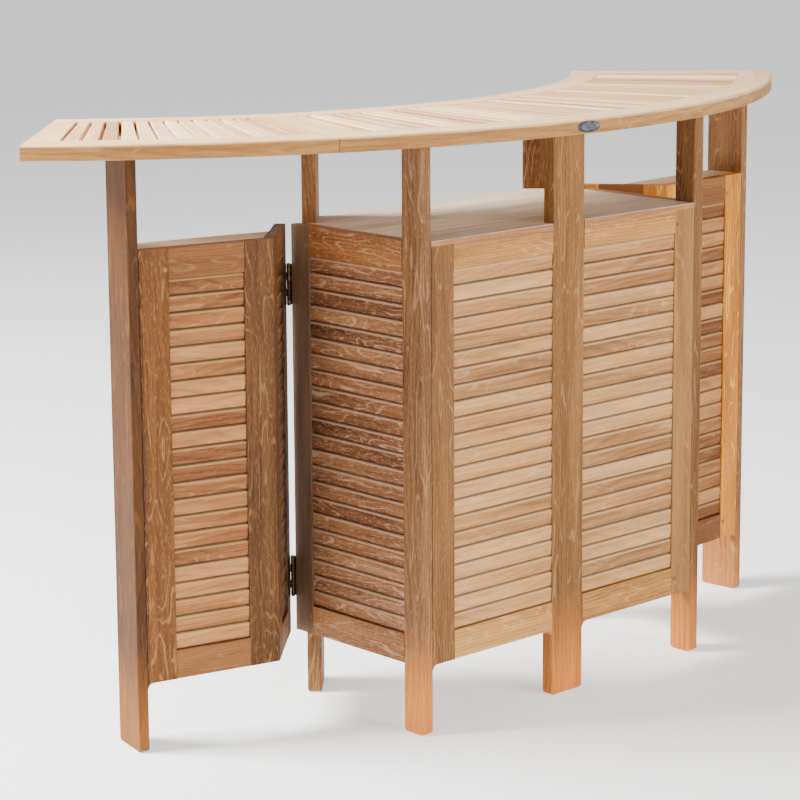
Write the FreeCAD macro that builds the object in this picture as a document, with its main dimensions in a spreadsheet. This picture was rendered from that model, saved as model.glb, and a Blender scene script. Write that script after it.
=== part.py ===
import FreeCAD, Part
import Sketcher
import os
import re

# Curved garden bar in teak: a louvred cabinet with an open shelf, two hinged louvred wings
# that stand forward on their own legs, and a slatted arc top in three lift-off sections.
# Millimetres, +Z up, origin on the floor below the middle of the top.

document = FreeCAD.newDocument("GardenBar")
sheet = document.addObject("Spreadsheet::Sheet", "Sizes")

# Driving sizes: lengths in millimetres, angles in degrees.
sizes = {
    "bar_height": 1100,
    "top_thickness": 27,
    "top_outer_radius": 1414,
    "top_width": 428,
    "top_half_angle": 44.3,
    "section_joint_angle": 22.15,
    "section_gap_angle": 0.04,
    "outer_rail_width": 71,
    "inner_rail_width": 58,
    "end_board_angle": 2.55,
    "slat_gap": 6,
    "tongue_length": 8,
    "tongue_thickness": 9,
    "top_arris": 3,
    "slat_arris": 1.6,
    "rim_overhang": 66,
    "badge_angle": 0.8,
    "badge_length": 57,
    "badge_height": 21,
    "badge_thickness": 1.5,
    "cabinet_half_width": 379,
    "side_depth": 347.8,
    "plank_thickness": 26,
    "front_leg_depth": 50,
    "post_width": 84,
    "leg_arris": 3,
    "foot_round": 8,
    "shoulder_radius": 9,
    "frame_arris": 1.2,
    "panel_bottom": 128.5,
    "shelf_top": 904,
    "shelf_thickness": 18,
    "shelf_overhang": 39.2,
    "shelf_gap": 2,
    "shelf_rebate": 9,
    "front_stile_width": 55,
    "rear_stile_width": 49.3,
    "front_top_rail_height": 37,
    "side_top_rail_height": 55,
    "bottom_rail_height": 55,
    "rear_leg_thickness": 27,
    "rear_leg_width": 92,
    "rear_leg_lap": 5,
    "stile_chamfer": 12,
    "bearer_width": 22,
    "bearer_height": 22,
    "rear_bearer_inset": 2.8,
    "side_bearer_shortfall": 37.8,
    "tenon_length": 20,
    "tenon_thickness": 8,
    "tenon_shoulder": 7,
    "louvre_height": 28.2,
    "louvre_thickness": 12,
    "louvre_tilt": 5,
    "louvre_recess": 2,
    "louvre_housing": 5,
    "louvre_nose": 8,
    "louvre_arris": 1,
    "joint_clearance": 0.2,
    "moving_clearance": 0.3,
    "pin_standoff": 4.5,
    "leaf_plane_offset": 0.2,
    "leaf_thickness": 2,
    "leaf_width": 18.5,
    "hinge_height": 76,
    "lower_hinge_foot": 195,
    "upper_hinge_foot": 753,
    "barrel_radius": 4,
    "pin_radius": 2.3,
    "pin_head_radius": 3.2,
    "pin_head_height": 1.6,
    "screw_radius": 1.75,
    "screw_head_radius": 3.4,
    "screw_head_depth": 1.4,
    "screw_length": 14,
    "screw_setback": 13,
    "left_wing_angle": 42.8,
    "right_wing_angle": 51,
    "wing_kink_angle": 56,
    "wing_kink_distance": 190.7,
    "wing_width": 263,
    "wing_thickness": 20,
    "wing_bottom": 125.6,
    "wing_top": 905,
    "wing_top_rail_height": 55,
    "wing_bottom_rail_height": 53,
    "wing_stile_width": 57,
    "wing_hinge_stile_width": 50,
    "wing_kink_stile_width": 48.5,
    "wing_leg_thickness": 20,
    "wing_leg_width": 88,
    "ledge_depth": 84.5,
    "ledge_thickness": 18,
    "plug_radius": 4.5,
    "plug_depth": 6,
    "plug_inset": 7,
    "upper_plug_height": 867,
    "lower_plug_height": 161,
    "dowel_radius": 5,
    "dowel_sink": 20,
    "dowel_rise": 12,
    "rear_dowel_setback": 55,
    "cleat_start": 1060,
    "cleat_length": 180,
    "cleat_half_width": 35,
    "cleat_thickness": 20,
    "cleat_pin_radius": 4,
    "cleat_pin_offset": 18,
    "cleat_pin_inset": 30,
}
louvre_count = 22
side_slat_count = 12
centre_slat_count = 27
shelf_board_count = 4
shoulder_steps = 5
knuckle_count = 5
parallel_share = 0.999
match_tolerance = 0.01

for row, (alias, number) in enumerate(sizes.items(), start=1):
    sheet.set("A%d" % row, alias)
    sheet.set("B%d" % row, str(number))
    sheet.setAlias("B%d" % row, alias)

# Derived sizes, each a formula over the driving ones.
formulas = {
    "top_inner_radius": "top_outer_radius - top_width",
    "underside": "bar_height - top_thickness",
    "arc_to_front": "top_outer_radius - rim_overhang",
    "arc_centre": "(top_outer_radius + badge_thickness + top_inner_radius * cos(top_half_angle)) / 2",
    "front_plane": "arc_centre - arc_to_front",
    "slat_start": "top_inner_radius + inner_rail_width",
    "slat_end": "top_outer_radius - outer_rail_width",
    "groove_foot": "(top_thickness - tongue_thickness) / 2",
    "side_inner": "cabinet_half_width - plank_thickness",
    "stile_inner": "side_inner - front_stile_width",
    "shelf_depth": "side_depth + shelf_overhang",
    "rear_bearer_setback": "side_depth - rear_bearer_inset",
    "side_bearer_end": "side_depth - side_bearer_shortfall",
    "shelf_foot": "shelf_top - shelf_thickness",
    "wing_kink_mitre": "wing_thickness * tan(wing_kink_angle / 2)",
    "wing_back": "pin_standoff + wing_thickness",
    "leaf_back": "leaf_plane_offset + leaf_thickness",
    "barrel_reach": "barrel_radius + moving_clearance",
    "pin_out": "cabinet_half_width + pin_standoff",
    "pin_back": "side_depth + leaf_back",
    "rear_leg_slant": "side_inner + stile_chamfer - side_depth",
    "rear_leg_x": "side_inner + rear_leg_lap",
    "rear_leg_y": "rear_leg_x - rear_leg_slant",
    "wing_leg_top": "underside - moving_clearance",
}
for row, (alias, formula) in enumerate(formulas.items(), start=len(sizes) + 1):
    sheet.set("A%d" % row, alias)
    sheet.set("B%d" % row, "=" + formula)
    sheet.setAlias("B%d" % row, alias)
document.recompute()

words = sorted(list(sizes) + list(formulas), key=len, reverse=True)
groups = []
alias_pattern = re.compile(r"\b(" + "|".join(words) + r")\b")


# A formula over the sizes, in the form that other objects can be bound to.
def linked(text):
    return alias_pattern.sub(r"Sizes.\1", text)


def value(text):
    result = sheet.evalExpression(linked(text))
    return float(getattr(result, "Value", result))


def signed(side, text):
    return "%d * (%s)" % (side, text)


# Position and turn of a sub-part: x, y, z and the angle about the vertical.
def place(item, spot):
    item.Placement = FreeCAD.Placement(FreeCAD.Vector(), FreeCAD.Rotation(FreeCAD.Vector(0, 0, 1), 1))
    item.setExpression("Placement.Base.x", linked(spot[0]))
    item.setExpression("Placement.Base.y", linked(spot[1]))
    item.setExpression("Placement.Base.z", linked(spot[2]))
    item.setExpression("Placement.Rotation.Angle", linked(spot[3]))


def new_part(name, spot):
    body = document.addObject("PartDesign::Body", name)
    body.Label = name
    body.AllowCompound = True
    place(body, spot)
    return body


# Two matching sub-parts that are kept as one named node.
def group(name, members):
    node = document.addObject("Part::Compound", name)
    node.Label = name
    node.Links = members
    groups.append(node)
    document.recompute()


def new_sketch(body, role, offset):
    sketch = body.newObject("Sketcher::SketchObject", body.Label + "_sketch")
    plane = next(item for item in body.Origin.OriginFeatures if item.Role == role)
    sketch.AttachmentSupport = [(plane, "")]
    sketch.MapMode = "FlatFace"
    sketch.setExpression("AttachmentOffset.Base.z", linked(offset))
    return sketch


def bind_point(sketch, index, end, point):
    for axis, text in zip("XY", point):
        rule = Sketcher.Constraint("Distance" + axis, -1, 1, index, end, value(text))
        number = sketch.addConstraint(rule)
        sketch.setExpression("Constraints[%d]" % number, linked(text))


def draw_outline(sketch, points):
    first = sketch.GeometryCount
    corners = [FreeCAD.Vector(value(x), value(y), 0) for x, y in points]
    last = len(corners)
    for number in range(last):
        sketch.addGeometry(Part.LineSegment(corners[number], corners[(number + 1) % last]))
    for number in range(last):
        following = first + (number + 1) % last
        sketch.addConstraint(Sketcher.Constraint("Coincident", first + number, 2, following, 1))
    for number, point in enumerate(points):
        bind_point(sketch, first + number, 1, point)


def draw_circle(sketch, centre, radius):
    middle = FreeCAD.Vector(value(centre[0]), value(centre[1]), 0)
    index = sketch.addGeometry(Part.Circle(middle, FreeCAD.Vector(0, 0, 1), value(radius)))
    bind_point(sketch, index, 3, centre)
    number = sketch.addConstraint(Sketcher.Constraint("Radius", index, value(radius)))
    sketch.setExpression("Constraints[%d]" % number, linked(radius))


def rectangle(x0, x1, y0, y1):
    return [(x0, y0), (x1, y0), (x1, y1), (x0, y1)]


def extrude(body, kind, sketch, length, flip):
    feature = body.newObject("PartDesign::" + kind, body.Label + "_" + kind.lower())
    feature.Profile = sketch
    feature.setExpression("Length", linked(length))
    feature.Reversed = flip
    sketch.Visibility = False
    body.Tip = feature
    document.recompute()
    return feature


# A block standing on its plane, from foot to foot plus length along the plane's normal.
def block(body, points, foot, length, role="XY_Plane", flip=False):
    sketch = new_sketch(body, role, foot)
    draw_outline(sketch, points)
    return extrude(body, "Pad", sketch, length, flip)


def recess(body, points, role, offset, depth, flip):
    sketch = new_sketch(body, role, offset)
    draw_outline(sketch, points)
    return extrude(body, "Pocket", sketch, depth, flip)


def pegs(body, centres, radius, role, offset, length, flip=False):
    sketch = new_sketch(body, role, offset)
    for centre in centres:
        draw_circle(sketch, centre, radius)
    return extrude(body, "Pad", sketch, length, flip)


def holes(body, centres, radius, role, offset, depth, flip=False):
    sketch = new_sketch(body, role, offset)
    for centre in centres:
        draw_circle(sketch, centre, radius)
    return extrude(body, "Pocket", sketch, depth, flip)


def repeat_up(body, feature, step, count):
    pattern = body.newObject("PartDesign::LinearPattern", body.Label + "_pattern")
    pattern.Originals = [feature]
    axis = next(item for item in body.Origin.OriginFeatures if item.Role == "Z_Axis")
    pattern.Direction = (axis, [""])
    pattern.setExpression("Length", linked("(%s) * %d" % (step, count - 1)))
    pattern.Occurrences = count
    body.Tip = pattern
    document.recompute()
    return pattern


# Rounds every edge of the part that passes the test.
def ease(body, radius, test):
    base = body.Tip
    chosen = [
        "Edge%d" % number
        for number, edge in enumerate(base.Shape.Edges, start=1)
        if test(edge)
    ]
    feature = body.newObject("PartDesign::Fillet", body.Label + "_fillet")
    feature.Base = (base, chosen)
    feature.setExpression("Radius", linked(radius))
    body.Tip = feature
    document.recompute()
    return feature


def along(axis):
    def test(edge):
        if edge.Curve.TypeId != "Part::GeomLine":
            return False
        return abs(getattr(edge.Curve.Direction, axis)) > parallel_share
    return test


# Louvre section: the upper edge stands a little forward of the lower one.
def louvre_outline(foot, thickness, margin):
    lean = "sin(louvre_tilt)"
    rise = "cos(louvre_tilt)"
    front = "louvre_recess + (louvre_height + (%s)) * %s - (%s) * %s" % (margin, lean, margin, rise)
    base = "(%s) - (%s) * (%s + %s)" % (foot, margin, lean, rise)
    tall = "(louvre_height + 2 * (%s))" % margin
    deep = "((%s) + 2 * (%s))" % (thickness, margin)
    return [
        (front, base),
        ("%s + %s * %s" % (front, deep, rise), "%s + %s * %s" % (base, deep, lean)),
        (
            "%s + %s * %s - %s * %s" % (front, deep, rise, tall, lean),
            "%s + %s * %s + %s * %s" % (base, deep, lean, tall, rise),
        ),
        ("%s - %s * %s" % (front, tall, lean), "%s + %s * %s" % (base, tall, rise)),
    ]


# One louvred panel: heights of its rails, its thickness and where its front face lies.
class Panel:
    def __init__(self, bottom, low, high, top, thickness, blade, face):
        self.bottom = bottom
        self.low = low
        self.high = high
        self.top = top
        self.thickness = thickness
        self.blade = blade
        self.face = face
        self.pitch = "((%s) - (%s)) / %d" % (high, low, louvre_count)
        extent = "(louvre_height * cos(louvre_tilt) + %s * sin(louvre_tilt))" % blade
        self.first = "(%s) + ((%s) - %s) / 2" % (low, self.pitch, extent)
        self.tongue_face = "(%s) + ((%s) - tenon_thickness) / 2" % (face, thickness)
        self.rails = [(bottom, low), (high, top)]


def shifted(points, distance):
    return [("(%s) + (%s)" % (x, distance), y) for x, y in points]


# Mortises and louvre housings in an upright, cut in from the face at the given position.
# The way is 1 where the panel lies beyond the face and -1 where it lies before it.
def cut_sockets(body, panel, side, position, way):
    flip = side * way < 0
    face = signed(side, position)
    near = "(%s) - joint_clearance" % panel.tongue_face
    far = "(%s) + tenon_thickness + joint_clearance" % panel.tongue_face
    for foot, head in panel.rails:
        low = "(%s) + tenon_shoulder - joint_clearance" % foot
        high = "(%s) - tenon_shoulder + joint_clearance" % head
        recess(body, rectangle(near, far, low, high), "YZ_Plane", face,
               "tenon_length + joint_clearance", flip)
    shape = shifted(louvre_outline(panel.first, panel.blade, "joint_clearance"), panel.face)
    slot = recess(body, shape, "YZ_Plane", face, "louvre_housing + joint_clearance", flip)
    repeat_up(body, slot, panel.pitch, louvre_count)


def add_rails(body, panel, side, start, end):
    back = "(%s) + (%s)" % (panel.face, panel.thickness)
    for foot, head in panel.rails:
        height = "(%s) - (%s)" % (head, foot)
        outline = rectangle(signed(side, start), signed(side, end), panel.face, back)
        block(body, outline, foot, height)
    ease(body, "frame_arris", along("x"))
    for foot, head in panel.rails:
        outline = rectangle(
            signed(side, "(%s) - tenon_length" % start),
            signed(side, "(%s) + tenon_length" % end),
            panel.tongue_face,
            "(%s) + tenon_thickness" % panel.tongue_face,
        )
        block(body, outline, "(%s) + tenon_shoulder" % foot,
              "(%s) - (%s) - 2 * tenon_shoulder" % (head, foot))


def make_rails(name, spot, panel, sides, start, end):
    body = new_part(name, spot)
    for side in sides:
        add_rails(body, panel, side, start, end)
    return body


def make_louvres(name, spot, panel, side, start, end):
    body = new_part(name, spot)
    first = "(%s) - louvre_housing" % start
    last = "(%s) + louvre_housing" % end
    origin = signed(side, first) if side > 0 else signed(side, last)
    shape = shifted(louvre_outline(panel.first, panel.blade, "0"), panel.face)
    blade = block(body, shape, origin, "(%s) - (%s)" % (last, first), role="YZ_Plane")
    repeat_up(body, blade, panel.pitch, louvre_count)
    lengthwise = along("x")
    foot_level = value(panel.first) - match_tolerance
    step = value(panel.pitch)
    middle = value("(%s) + louvre_recess + (%s) / 2" % (panel.face, panel.blade))

    def nose_edge(edge):
        station = (edge.CenterOfMass.z - foot_level) % step
        return lengthwise(edge) and edge.CenterOfMass.y < middle and station > step / 2

    def plain_edge(edge):
        return lengthwise(edge) and not nose_edge(edge)

    ease(body, "louvre_arris", plain_edge)
    ease(body, "louvre_nose", nose_edge)


# A plain upright with softened long edges.
def make_upright(name, spot, outline, foot, head, arris, test):
    body = new_part(name, spot)
    block(body, outline, foot, "(%s) - (%s)" % (head, foot))
    ease(body, arris, test)
    return body


# A plank leg: its foot's corners are rounded in its broad face, then every edge of both
# broad faces is softened. The axis is the one that runs through the plank's thickness.
def make_leg(name, spot, outline, head, axis):
    body = new_part(name, spot)
    block(body, outline, "0", head)
    through = along(axis)

    def foot_corner(edge):
        return through(edge) and edge.BoundBox.ZMax < value("foot_round")

    def face_edge(edge):
        return not through(edge)

    ease(body, "foot_round", foot_corner)
    ease(body, "leg_arris", face_edge)
    return body


# Hollow rounding below a panel where it meets a leg, on the side where the panel lies.
def add_shoulder(body, side, corner, level, way, thickness):
    reach = signed(side * way, "shoulder_radius")
    outline = [(signed(side, corner), level)]
    for step in range(shoulder_steps + 1):
        angle = "90 * %d / %d" % (step, shoulder_steps)
        outline.append((
            "%s + %s * (1 - sin(%s))" % (signed(side, corner), reach, angle),
            "%s - shoulder_radius * (1 - cos(%s))" % (level, angle),
        ))
    block(body, outline, "0", thickness, "XZ_Plane", True)


screw_heights = [
    "%s + hinge_height * %s" % (foot, height_share)
    for foot in ("lower_hinge_foot", "upper_hinge_foot")
    for height_share in ("1 / 6", "1 / 2", "5 / 6")
]
plug_heights = ["lower_plug_height", "upper_plug_height"]

front_spot = ("0", "front_plane", "0", "0")
side_names = {-1: "left", 1: "right"}
side_spots = {
    side: (signed(side, "cabinet_half_width"), "front_plane", "0", signed(side, "90"))
    for side in side_names
}

front_panel = Panel(
    "panel_bottom",
    "panel_bottom + bottom_rail_height",
    "shelf_foot - front_top_rail_height",
    "shelf_foot",
    "plank_thickness",
    "louvre_thickness",
    "0",
)
side_panel = Panel(
    "panel_bottom",
    "panel_bottom + bottom_rail_height",
    "shelf_top - side_top_rail_height",
    "shelf_top",
    "plank_thickness",
    "louvre_thickness",
    "0",
)

# Centre post of the front, with a panel on either side.
body = make_leg(
    "centre_post",
    front_spot,
    rectangle("-post_width / 2", "post_width / 2", "0", "plank_thickness"),
    "underside",
    "y",
)
for side in side_names:
    cut_sockets(body, front_panel, side, "post_width / 2", 1)
post_plugs = [
    (signed(side, "post_width / 2 - plug_inset"), height)
    for side in side_names
    for height in plug_heights
]
holes(body, post_plugs, "plug_radius", "XZ_Plane", "0", "plug_depth")

# Front frame uprights beside the legs.
stile_plugs = {
    side: [(signed(side, "stile_inner + plug_inset"), height) for height in plug_heights]
    for side in side_names
}
front_stiles = []
for side, word in side_names.items():
    front_stiles.append(make_upright(
        "front_%s_stile" % word,
        front_spot,
        rectangle(signed(side, "stile_inner"), signed(side, "side_inner"), "0", "plank_thickness"),
        "panel_bottom",
        "shelf_foot + shelf_rebate",
        "frame_arris",
        along("z"),
    ))
    add_shoulder(front_stiles[-1], side, "side_inner", "panel_bottom", -1, "plank_thickness")
    cut_sockets(front_stiles[-1], front_panel, side, "stile_inner", -1)
    holes(front_stiles[-1], stile_plugs[side], "plug_radius", "XZ_Plane", "0", "plug_depth")
group("front_stiles", front_stiles)

body = make_rails("front_rails", front_spot, front_panel, (-1, 1), "post_width / 2", "stile_inner")
for side in side_names:
    add_shoulder(body, side, "post_width / 2", "panel_bottom", 1, "plank_thickness")
for side, word in side_names.items():
    make_louvres("front_%s_louvres" % word, front_spot, front_panel, side,
                 "post_width / 2", "stile_inner")

# Corner legs, rear stiles, rails and louvres of the two sides.
leg_plug = "front_leg_depth - plug_inset"
rear_plug = "side_depth - rear_stile_width + plug_inset"
for side, word in side_names.items():
    spot = side_spots[side]
    body = make_leg(
        "front_%s_leg" % word,
        spot,
        rectangle("0", signed(side, "front_leg_depth"), "0", "plank_thickness"),
        "underside",
        "y",
    )
    cut_sockets(body, side_panel, side, "front_leg_depth", 1)
    centres = [(signed(side, leg_plug), height) for height in plug_heights]
    holes(body, centres, "plug_radius", "XZ_Plane", "0", "plug_depth")
    holes(body, [(signed(side, "front_leg_depth / 2"), "plank_thickness / 2")], "dowel_radius",
          "XY_Plane", "underside", "dowel_sink")

    outline = [
        (signed(side, "side_depth - rear_stile_width"), "0"),
        (signed(side, "side_depth"), "0"),
        (signed(side, "side_depth"), "plank_thickness - stile_chamfer"),
        (signed(side, "side_depth - stile_chamfer"), "plank_thickness"),
        (signed(side, "side_depth - rear_stile_width"), "plank_thickness"),
    ]
    body = make_upright("%s_rear_stile" % word, spot, outline, "panel_bottom", "shelf_top",
                        "frame_arris", along("z"))
    cut_sockets(body, side_panel, side, "side_depth - rear_stile_width", -1)
    centres = [("screw_setback - pin_standoff", height) for height in screw_heights]
    holes(body, centres, "screw_radius", "YZ_Plane", signed(side, "side_depth"),
          "screw_length - leaf_thickness", side < 0)
    centres = [(signed(side, rear_plug), height) for height in plug_heights]
    holes(body, centres, "plug_radius", "XZ_Plane", "0", "plug_depth")

    start = "front_leg_depth"
    end = "side_depth - rear_stile_width"
    make_rails("%s_side_rails" % word, spot, side_panel, (side,), start, end)
    make_louvres("%s_side_louvres" % word, spot, side_panel, side, start, end)


# Rear legs: planks set at forty-five degrees behind the side frames.
def rear_leg_point(side, run, depth):
    across = "rear_leg_x - ((%s) + (%s)) * cos(45)" % (run, depth)
    back = "rear_leg_y + ((%s) - (%s)) * cos(45)" % (run, depth)
    return (signed(side, across), back)


for side, word in side_names.items():
    spot = (
        signed(side, "rear_leg_x"),
        "front_plane + rear_leg_y",
        "0",
        signed(side, "135"),
    )
    body = make_leg(
        "rear_%s_leg" % word,
        spot,
        rectangle("0", signed(side, "rear_leg_width"), "0", "rear_leg_thickness"),
        "underside",
        "y",
    )
    centre = (signed(side, "rear_dowel_setback"), "rear_leg_thickness / 2")
    holes(body, [centre], "dowel_radius", "XY_Plane", "underside", "dowel_sink")

# Shelf boards: the first is notched round the post and rebated over the stiles,
# the last is cut along the inner faces of the rear legs.
board_step = "(shelf_depth + shelf_gap) / %d" % shelf_board_count
body = new_part("shelf_boards", front_spot)
post_edge = "post_width / 2 + joint_clearance"
post_back = "plank_thickness + joint_clearance"
first_back = "%s - shelf_gap" % board_step
outline = [
    ("-side_inner", "0"),
    ("-(%s)" % post_edge, "0"),
    ("-(%s)" % post_edge, post_back),
    (post_edge, post_back),
    (post_edge, "0"),
    ("side_inner", "0"),
    ("side_inner", first_back),
    ("-side_inner", first_back),
]
block(body, outline, "shelf_foot", "shelf_thickness")
for number in range(1, shelf_board_count - 1):
    outline = rectangle("-side_inner", "side_inner", "%s * %d" % (board_step, number),
                        "%s * %d - shelf_gap" % (board_step, number + 1))
    block(body, outline, "shelf_foot", "shelf_thickness")
leg_edge = "rear_leg_x + rear_leg_y - 2 * rear_leg_thickness * cos(45) - joint_clearance * 2"
leg_front = "side_inner - rear_leg_slant - joint_clearance * 2"
corner_out = "((%s) + rear_leg_slant + joint_clearance * 2) / 2" % leg_edge
corner_back = "((%s) - rear_leg_slant - joint_clearance * 2) / 2" % leg_edge
last_front = "%s * %d" % (board_step, shelf_board_count - 1)
half = [
    ("side_inner", last_front),
    ("side_inner", leg_front),
    (corner_out, corner_back),
    ("%s - shelf_depth" % leg_edge, "shelf_depth"),
]
mirror = [(signed(-1, x), y) for x, y in reversed(half)]
block(body, half + mirror, "shelf_foot", "shelf_thickness")
for side in side_names:
    outline = rectangle(
        signed(side, "stile_inner - joint_clearance"),
        signed(side, "side_inner"),
        "0",
        "plank_thickness + joint_clearance",
    )
    recess(body, outline, "XY_Plane", "shelf_foot", "shelf_rebate", True)

# Bearers below the shelf: one on each side, one across the back, one down the middle.
cross_bearer = new_part("rear_shelf_bearer", front_spot)
bearer_foot = "shelf_foot - bearer_height"
rear_half = [
    ("%s + joint_clearance * 2 - rear_bearer_setback" % leg_edge, "rear_bearer_setback"),
    (
        "%s + joint_clearance * 2 - rear_bearer_setback - bearer_width" % leg_edge,
        "rear_bearer_setback + bearer_width",
    ),
]
mirror = [(signed(-1, x), y) for x, y in reversed(rear_half)]
block(cross_bearer, rear_half + mirror, bearer_foot, "bearer_height")
body = new_part("long_shelf_bearers", front_spot)
block(body, rectangle("-bearer_width / 2", "bearer_width / 2", "plank_thickness", "rear_bearer_setback"),
      bearer_foot, "bearer_height")
for side in side_names:
    outline = rectangle(
        signed(side, "side_inner - bearer_width"),
        signed(side, "side_inner"),
        "plank_thickness",
        "side_bearer_end",
    )
    block(body, outline, bearer_foot, "bearer_height")
group("shelf_bearers", [cross_bearer, body])


# Hinges: local x runs along the leaf from the pin, local y towards the wood.
def make_leaf(body, turn, own):
    plate = rectangle("0", "leaf_width", signed(turn, "leaf_plane_offset"), signed(turn, "leaf_back"))
    step = "hinge_height / %d" % knuckle_count
    centres = [("screw_setback", height) for height in screw_heights]
    for foot in ("lower_hinge_foot", "upper_hinge_foot"):
        block(body, plate, foot, "hinge_height")
        pegs(body, [("0", "0")], "barrel_radius", "XY_Plane", foot, "hinge_height")
        gap = "moving_clearance"
        clear = rectangle("-1 * barrel_reach", "barrel_reach", "-1 * barrel_reach", "barrel_reach")
        for number in range(knuckle_count):
            if number % 2 == own:
                continue
            recess(body, clear, "XY_Plane", "%s + %s * %d - %s" % (foot, step, number, gap),
                   "%s + 2 * %s" % (step, gap), True)
    bore = "pin_radius" if own == 0 else "pin_radius + moving_clearance"
    holes(body, [("0", "0")], bore, "XY_Plane", "0", "bar_height", True)
    face = signed(-turn, "leaf_plane_offset")
    holes(body, centres, "screw_radius", "XZ_Plane", face, "leaf_thickness * 2", turn < 0)
    holes(body, centres, "screw_head_radius", "XZ_Plane", face, "screw_head_depth", turn < 0)


def make_screws(body, turn):
    centres = [("screw_setback", height) for height in screw_heights]
    face = signed(-turn, "leaf_plane_offset")
    pegs(body, centres, "screw_radius", "XZ_Plane", face, "screw_length", turn > 0)
    pegs(body, centres, "screw_head_radius", "XZ_Plane", face, "screw_head_depth", turn > 0)


pin_spots = {
    side: (signed(side, "pin_out"), "front_plane + pin_back")
    for side in side_names
}
cabinet_leaves = []
cabinet_screws = []
for side, word in side_names.items():
    spot = (pin_spots[side][0], pin_spots[side][1], "0", "180" if side > 0 else "0")
    cabinet_leaves.append(new_part("%s_cabinet_hinge_leaves" % word, spot))
    make_leaf(cabinet_leaves[-1], side, 0)
    cabinet_screws.append(new_part("%s_cabinet_hinge_screws" % word, spot))
    make_screws(cabinet_screws[-1], side)
group("cabinet_hinge_leaves", cabinet_leaves)
group("cabinet_hinge_screws", cabinet_screws)

body = new_part("hinge_pins", ("0", "front_plane + pin_back", "0", "0"))
pin_centres = [(signed(side, "pin_out"), "0") for side in side_names]
for foot in ("lower_hinge_foot", "upper_hinge_foot"):
    pegs(body, pin_centres, "pin_radius", "XY_Plane", foot, "hinge_height")
    pegs(body, pin_centres, "pin_head_radius", "XY_Plane", foot + " - pin_head_height",
         "pin_head_height")
    pegs(body, pin_centres, "pin_head_radius", "XY_Plane", foot + " + hinge_height",
         "pin_head_height")

# Wooden plugs over the fixings of the front and side frames, flush with the faces.
body = new_part("frame_plugs", front_spot)
front_plugs = post_plugs + stile_plugs[-1] + stile_plugs[1]
pegs(body, front_plugs, "plug_radius", "XZ_Plane", "0", "plug_depth", True)
for side in side_names:
    centres = [(spot, height) for spot in (leg_plug, rear_plug) for height in plug_heights]
    pegs(body, centres, "plug_radius", "YZ_Plane", signed(side, "cabinet_half_width"),
         "plug_depth", side > 0)

# Dowels in the heads of the four corner legs that locate the top.
body = new_part("locating_dowels", front_spot)
dowel_points = []
for side in side_names:
    dowel_points.append((signed(side, "cabinet_half_width - plank_thickness / 2"), "front_leg_depth / 2"))
    dowel_points.append(rear_leg_point(side, "rear_dowel_setback", "rear_leg_thickness / 2"))
pegs(body, dowel_points, "dowel_radius", "XY_Plane", "underside - dowel_sink", "dowel_sink + dowel_rise")


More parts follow.
